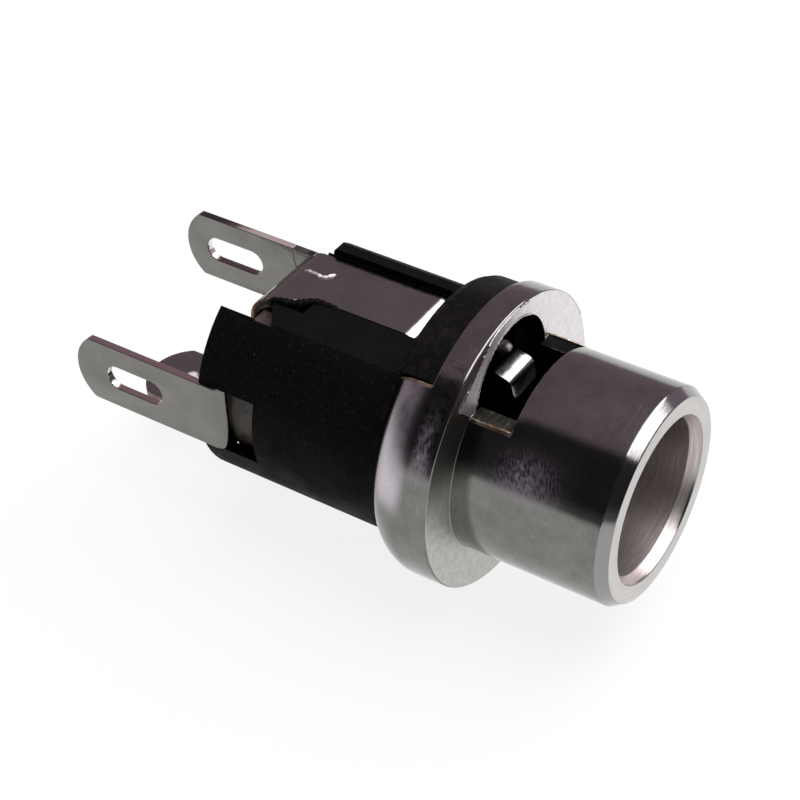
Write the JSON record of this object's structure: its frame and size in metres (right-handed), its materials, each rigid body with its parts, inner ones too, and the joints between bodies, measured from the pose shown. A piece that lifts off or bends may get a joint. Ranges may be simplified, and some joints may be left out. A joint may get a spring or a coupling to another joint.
{
  "type": "panel-mount dc power jack",
  "caption": "Round low-voltage power socket with a turned metal bushing, a flange for the panel, a centre pin and rear solder lugs.",
  "frame": {"origin": "centre of the flange's front face, on the barrel's axis", "axes": "+X along the barrel towards its mouth, +Z towards the saw-cut window and the spring contact, -Y towards the centre pin's solder lug"},
  "size_m": [0.0218, 0.0112, 0.0112],
  "materials": {
    "nickel_bushing": "turned brass with thin nickel plating",
    "black_plastic": "moulded, fine matte texture",
    "brown_laminate": "punched laminate, rough edge",
    "pin_metal": "turned, nickel plated",
    "tinned_strip": "stamped strip, tinned, brass showing at the sheared edges"
  },
  "bodies": {
    "root": {"bushing": "nickel_bushing", "insulator": "black_plastic", "washer": "brown_laminate", "pin": "pin_metal", "pin_lug": "tinned_strip", "spring": "tinned_strip", "switch_lug": "tinned_strip"}
  },
  "joints": []
}
